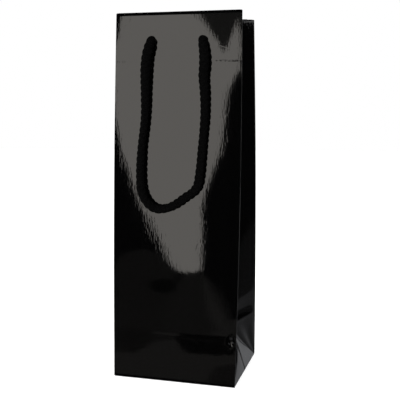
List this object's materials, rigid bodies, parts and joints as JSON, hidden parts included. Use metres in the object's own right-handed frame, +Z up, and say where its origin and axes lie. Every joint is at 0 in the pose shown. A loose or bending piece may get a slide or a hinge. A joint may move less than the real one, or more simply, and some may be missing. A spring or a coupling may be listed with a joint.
{
  "type": "wine gift bag",
  "caption": "Tall gloss-laminated paper bag for a bottle, folded from a sheet, with pinched side gussets and knotted rope handles.",
  "frame": {"origin": "middle of the base, on the surface the bag stands on", "axes": "+Z up, -Y out of the front wall, +X to the right seen from the front"},
  "size_m": [0.125, 0.1014, 0.3597],
  "materials": {
    "laminated_paper": "gloss",
    "uncoated_inside": "matte",
    "grey_card": "matte",
    "black_rope": "matte"
  },
  "bodies": {
    "base": {"front_bottom_flap": "laminated_paper", "rear_bottom_flap": "laminated_paper", "left_bottom_flap": "uncoated_inside", "right_bottom_flap": "uncoated_inside", "base_card": "grey_card", "left_base_triangle": "laminated_paper", "right_base_triangle": "laminated_paper"},
    "front_wall": {"front_panel": "laminated_paper", "front_stiffener_card": "grey_card", "front_turned_in_hem": "laminated_paper", "front_knot_a": "black_rope", "front_knot_b": "black_rope", "left_front_corner_facet": "laminated_paper", "left_front_gusset": "laminated_paper", "left_front_gusset_hem": "laminated_paper", "right_front_corner_facet": "laminated_paper", "right_front_gusset": "laminated_paper", "right_front_gusset_hem": "laminated_paper"},
    "rear_wall": {"rear_panel": "laminated_paper", "rear_stiffener_card": "grey_card", "rear_turned_in_hem": "laminated_paper", "rear_knot_a": "black_rope", "rear_knot_b": "black_rope", "left_rear_corner_facet": "laminated_paper", "left_rear_gusset": "laminated_paper", "left_rear_gusset_hem": "laminated_paper", "right_rear_corner_facet": "laminated_paper", "right_rear_gusset": "laminated_paper", "right_rear_gusset_hem": "laminated_paper", "glued_seam_flap": "uncoated_inside"},
    "front_handle": {"front_rope_handle": "black_rope"},
    "rear_handle": {"rear_rope_handle": "black_rope"}
  },
  "joints": [
    {"name": "mouth_front", "type": "hinge", "parent": "base", "child": "front_wall", "pos_m": [0, -0.05, 0], "axis": [1, 0, 0], "range_deg": [0, 2.35], "stiffness_Nm_per_rad": 0.5},
    {"name": "mouth_rear", "type": "hinge", "parent": "base", "child": "rear_wall", "pos_m": [0, 0.05, 0], "axis": [-1, 0, 0], "range_deg": [0, 4.4], "stiffness_Nm_per_rad": 0.5},
    {"name": "front_handle_swing", "type": "hinge", "parent": "front_wall", "child": "front_handle", "pos_m": [0, -0.04067, 0.3329], "axis": [-1, 0, 0], "range_deg": [0, 175]},
    {"name": "rear_handle_swing", "type": "hinge", "parent": "rear_wall", "child": "rear_handle", "pos_m": [0, 0.02864, 0.33235], "axis": [1, 0, 0], "range_deg": [0, 175]}
  ],
  "couplings": [
    {"joint": "mouth_rear", "follows": "mouth_front", "ratio": 1.86}
  ]
}
